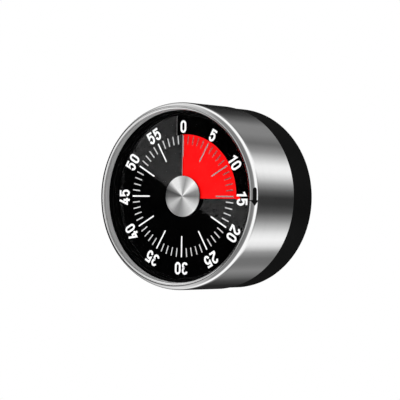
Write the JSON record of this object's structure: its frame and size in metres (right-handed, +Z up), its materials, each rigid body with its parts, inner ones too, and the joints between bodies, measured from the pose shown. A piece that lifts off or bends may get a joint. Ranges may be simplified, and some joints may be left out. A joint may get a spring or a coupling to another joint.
{
  "type": "kitchen timer",
  "caption": "Round wind-up one hour timer: turning brushed steel ring, black dial with a red time disc, clear window, black base and magnetic back.",
  "frame": {"origin": "centre of the flat back face, on the axis of the timer", "axes": "+Y out of the back face, into what the timer is stuck to, so the dial faces -Y; +Z up to the 0 on the dial; +X to the right of the dial"},
  "size_m": [0.08, 0.0487, 0.08],
  "materials": {
    "ring_steel": "brushed round the ring",
    "arrow_print": "printed",
    "black_plastic": "satin moulded",
    "inner_plastic": "moulded",
    "lens_clear": "clear polished",
    "foil_clear": "clear film with white print",
    "dial_black": "gloss black sheet",
    "disc_red": "matte film",
    "cap_aluminium": "spun face",
    "brass": "stamped",
    "steel": "turned",
    "spring_steel": "blued",
    "gong_steel": "plated",
    "ferrite": "sintered",
    "pad_rubber": "fine matte"
  },
  "bodies": {
    "housing": {"rear_housing": "black_plastic", "barrel": "inner_plastic", "barrel_screws": "steel", "dial_rim": "inner_plastic", "dial_sheet": "dial_black", "scale_foil": "foil_clear", "front_plate": "brass", "back_plate": "brass", "pillars": "brass", "pillar_screws": "steel", "movement_screws": "steel", "mainspring": "spring_steel", "spring_post": "steel", "hammer_spring": "spring_steel", "gong": "gong_steel", "gong_post": "steel", "gong_screw": "steel", "magnet_ring": "ferrite", "magnet_yoke": "steel", "back_pad": "pad_rubber"},
    "setting_ring": {"bezel_ring": "ring_steel", "direction_arrow": "arrow_print", "ring_liner": "inner_plastic", "lens_retainer": "black_plastic", "lens": "lens_clear", "hub_cap": "cap_aluminium", "lens_hub": "inner_plastic", "hub_screw": "steel", "winding_arbor": "steel", "arbor_collar": "steel", "arbor_washer": "steel", "alarm_cam": "brass", "ratchet_wheel": "steel"},
    "red_disc": {"time_disc": "disc_red", "disc_collar": "inner_plastic"},
    "great_wheel_set": {"great_wheel": "brass", "click_post": "steel", "click_spring": "spring_steel"},
    "click_lever": {"click": "steel"},
    "second_wheel_set": {"second_pinion": "steel", "second_wheel": "brass"},
    "third_wheel_set": {"third_pinion": "steel", "third_wheel": "brass"},
    "escape_wheel_set": {"escape_pinion": "steel", "escape_wheel": "brass"},
    "anchor_set": {"anchor": "steel", "anchor_arbor": "steel", "balance_wheel": "brass"},
    "hammer_set": {"hammer_arbor": "steel", "hammer": "brass", "trip_arm": "steel"}
  },
  "joints": [
    {"name": "set_turn", "type": "hinge", "parent": "housing", "child": "setting_ring", "pos_m": [0, -0.03, 0], "axis": [0, 1, 0], "range_deg": [-90, 255]},
    {"name": "disc_advance", "type": "slide", "parent": "setting_ring", "child": "red_disc", "axis": [0, -1, 0], "range_m": [-0.00031, 0.00086]},
    {"name": "great_wheel_turn", "type": "hinge", "parent": "housing", "child": "great_wheel_set", "pos_m": [0, -0.0176, 0], "axis": [0, 1, 0], "range_deg": [-90, 255]},
    {"name": "click_lift", "type": "hinge", "parent": "great_wheel_set", "child": "click_lever", "pos_m": [0.00771, -0.0196, 0.00919], "axis": [0, -1, 0], "range_deg": [0, 10], "stiffness_Nm_per_rad": 0.0001, "springref_deg": -17.19},
    {"name": "second_wheel_turn", "type": "hinge", "parent": "housing", "child": "second_wheel_set", "pos_m": [-0.01691, -0.021, -0.00616], "axis": [0, 1, 0], "range_deg": [-2040, 720]},
    {"name": "third_wheel_turn", "type": "hinge", "parent": "housing", "child": "third_wheel_set", "pos_m": [-0.01731, -0.022, 0.00784], "axis": [0, 1, 0], "range_deg": [-5040, 14280]},
    {"name": "escape_wheel_turn", "type": "hinge", "parent": "housing", "child": "escape_wheel_set", "pos_m": [-0.01161, -0.024, 0.01868], "axis": [0, 1, 0], "range_deg": [-85680, 30240]},
    {"name": "anchor_rock", "type": "hinge", "parent": "housing", "child": "anchor_set", "pos_m": [-0.0018, -0.024, 0.02243], "axis": [0, 1, 0], "range_deg": [-4, 4]},
    {"name": "hammer_swing", "type": "hinge", "parent": "housing", "child": "hammer_set", "pos_m": [0.0125, -0.022, -0.02165], "axis": [0, -1, 0], "range_deg": [0, 8], "stiffness_Nm_per_rad": 0.001, "springref_deg": -17.19}
  ],
  "couplings": [
    {"joint": "disc_advance", "follows": "set_turn", "m_per_rad": 0.00019099},
    {"joint": "great_wheel_turn", "follows": "set_turn", "ratio": 1},
    {"joint": "second_wheel_turn", "follows": "set_turn", "ratio": -8},
    {"joint": "third_wheel_turn", "follows": "set_turn", "ratio": 56},
    {"joint": "escape_wheel_turn", "follows": "set_turn", "ratio": -336}
  ]
}
